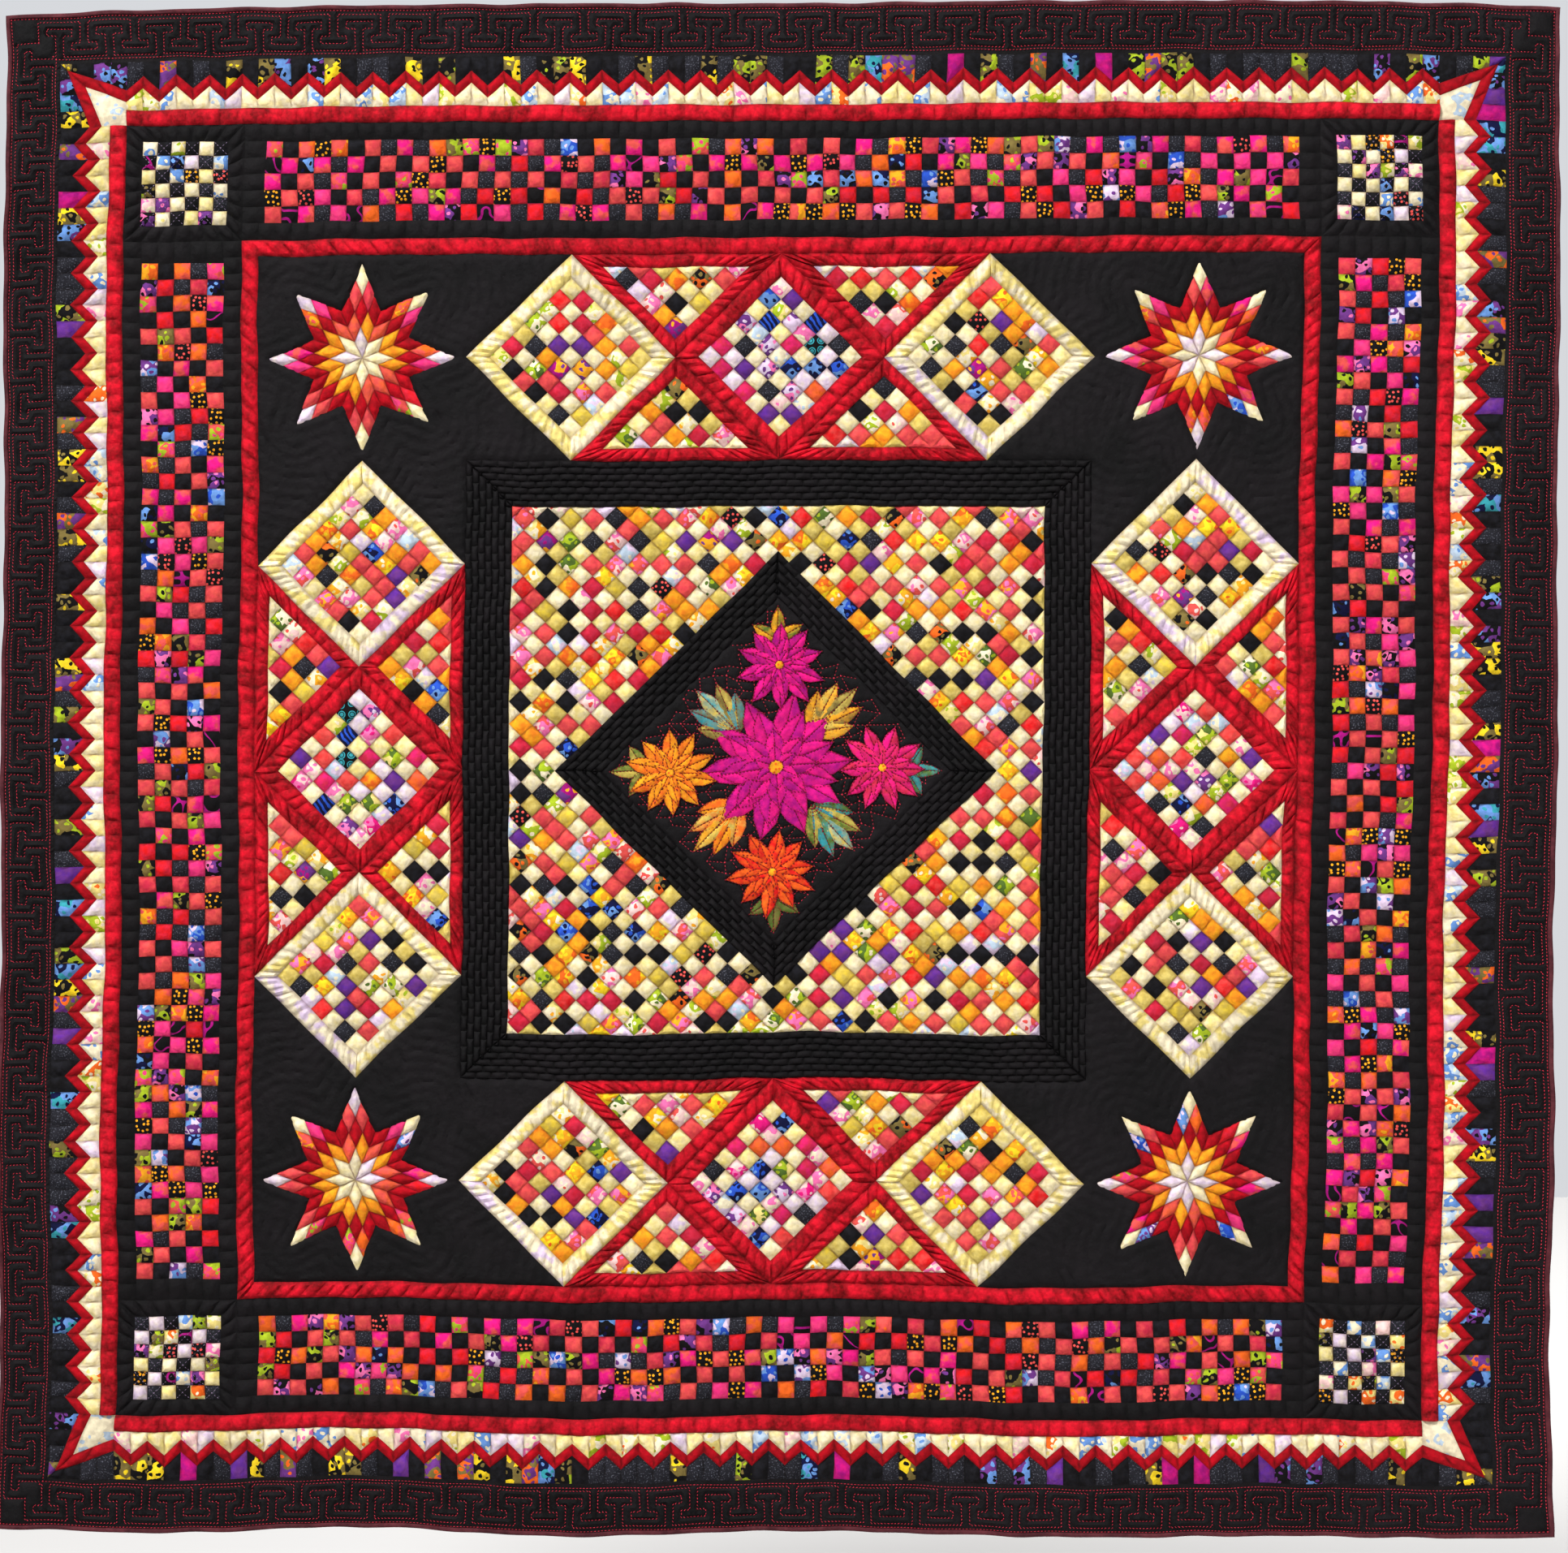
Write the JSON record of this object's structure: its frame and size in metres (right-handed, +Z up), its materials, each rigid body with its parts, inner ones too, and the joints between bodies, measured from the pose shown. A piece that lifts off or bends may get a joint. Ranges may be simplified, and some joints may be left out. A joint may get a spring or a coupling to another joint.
{
  "type": "patchwork quilt",
  "caption": "Square medallion quilt hung by its top edge: bright patchwork squares on point, red sashes, a border of points and strips, and a black border quilted in a key pattern.",
  "frame": {"origin": "middle of the top edge, where the quilt is held", "axes": "+X to the right seen from the front, +Y out of the back, +Z up"},
  "size_m": [1.8127, 0.038, 1.7821],
  "materials": {
    "black_cotton": "matt woven cotton, quilted",
    "red_cotton": "matt woven cotton, mottled red",
    "cream_cotton": "matt woven cotton, cream and pale prints",
    "bright_checks": "patchwork of pale and bright cottons",
    "dark_checks": "patchwork of red, pink and black cottons",
    "dark_strips": "patchwork of mostly dark cottons",
    "flowered_cotton": "printed cotton with large flowers"
  },
  "bodies": {
    "root": {"key_border": "black_cotton", "strip_border": "dark_strips", "zigzag": "red_cotton", "point_border": "cream_cotton", "red_sash": "red_cotton", "medallion_frame": "black_cotton", "medallion_checks": "bright_checks", "medallion_band": "black_cotton", "flower_panel": "flowered_cotton", "binding": "black_cotton", "red_border_top": "red_cotton", "black_field_top": "black_cotton", "long_checks_top": "dark_checks", "corner_block_top_right": "dark_checks", "star_corner_top_right": "black_cotton", "block_top_1": "bright_checks", "block_top_2": "dark_checks", "block_top_3": "bright_checks", "outer_triangle_top_1": "dark_checks", "inner_triangle_top_1": "dark_checks", "outer_triangle_top_2": "dark_checks", "inner_triangle_top_2": "dark_checks", "red_border_left": "red_cotton", "black_field_left": "black_cotton", "long_checks_left": "dark_checks", "corner_block_top_left": "dark_checks", "star_corner_top_left": "black_cotton", "block_left_1": "bright_checks", "block_left_2": "dark_checks", "block_left_3": "bright_checks", "outer_triangle_left_1": "dark_checks", "inner_triangle_left_1": "dark_checks", "outer_triangle_left_2": "dark_checks", "inner_triangle_left_2": "dark_checks", "red_border_bottom": "red_cotton", "black_field_bottom": "black_cotton", "long_checks_bottom": "dark_checks", "corner_block_bottom_left": "dark_checks", "star_corner_bottom_left": "black_cotton", "block_bottom_1": "bright_checks", "block_bottom_2": "dark_checks", "block_bottom_3": "bright_checks", "outer_triangle_bottom_1": "dark_checks", "inner_triangle_bottom_1": "dark_checks", "outer_triangle_bottom_2": "dark_checks", "inner_triangle_bottom_2": "dark_checks", "red_border_right": "red_cotton", "black_field_right": "black_cotton", "long_checks_right": "dark_checks", "corner_block_bottom_right": "dark_checks", "star_corner_bottom_right": "black_cotton", "block_right_1": "bright_checks", "block_right_2": "dark_checks", "block_right_3": "bright_checks", "outer_triangle_right_1": "dark_checks", "inner_triangle_right_1": "dark_checks", "outer_triangle_right_2": "dark_checks", "inner_triangle_right_2": "dark_checks"}
  },
  "joints": []
}
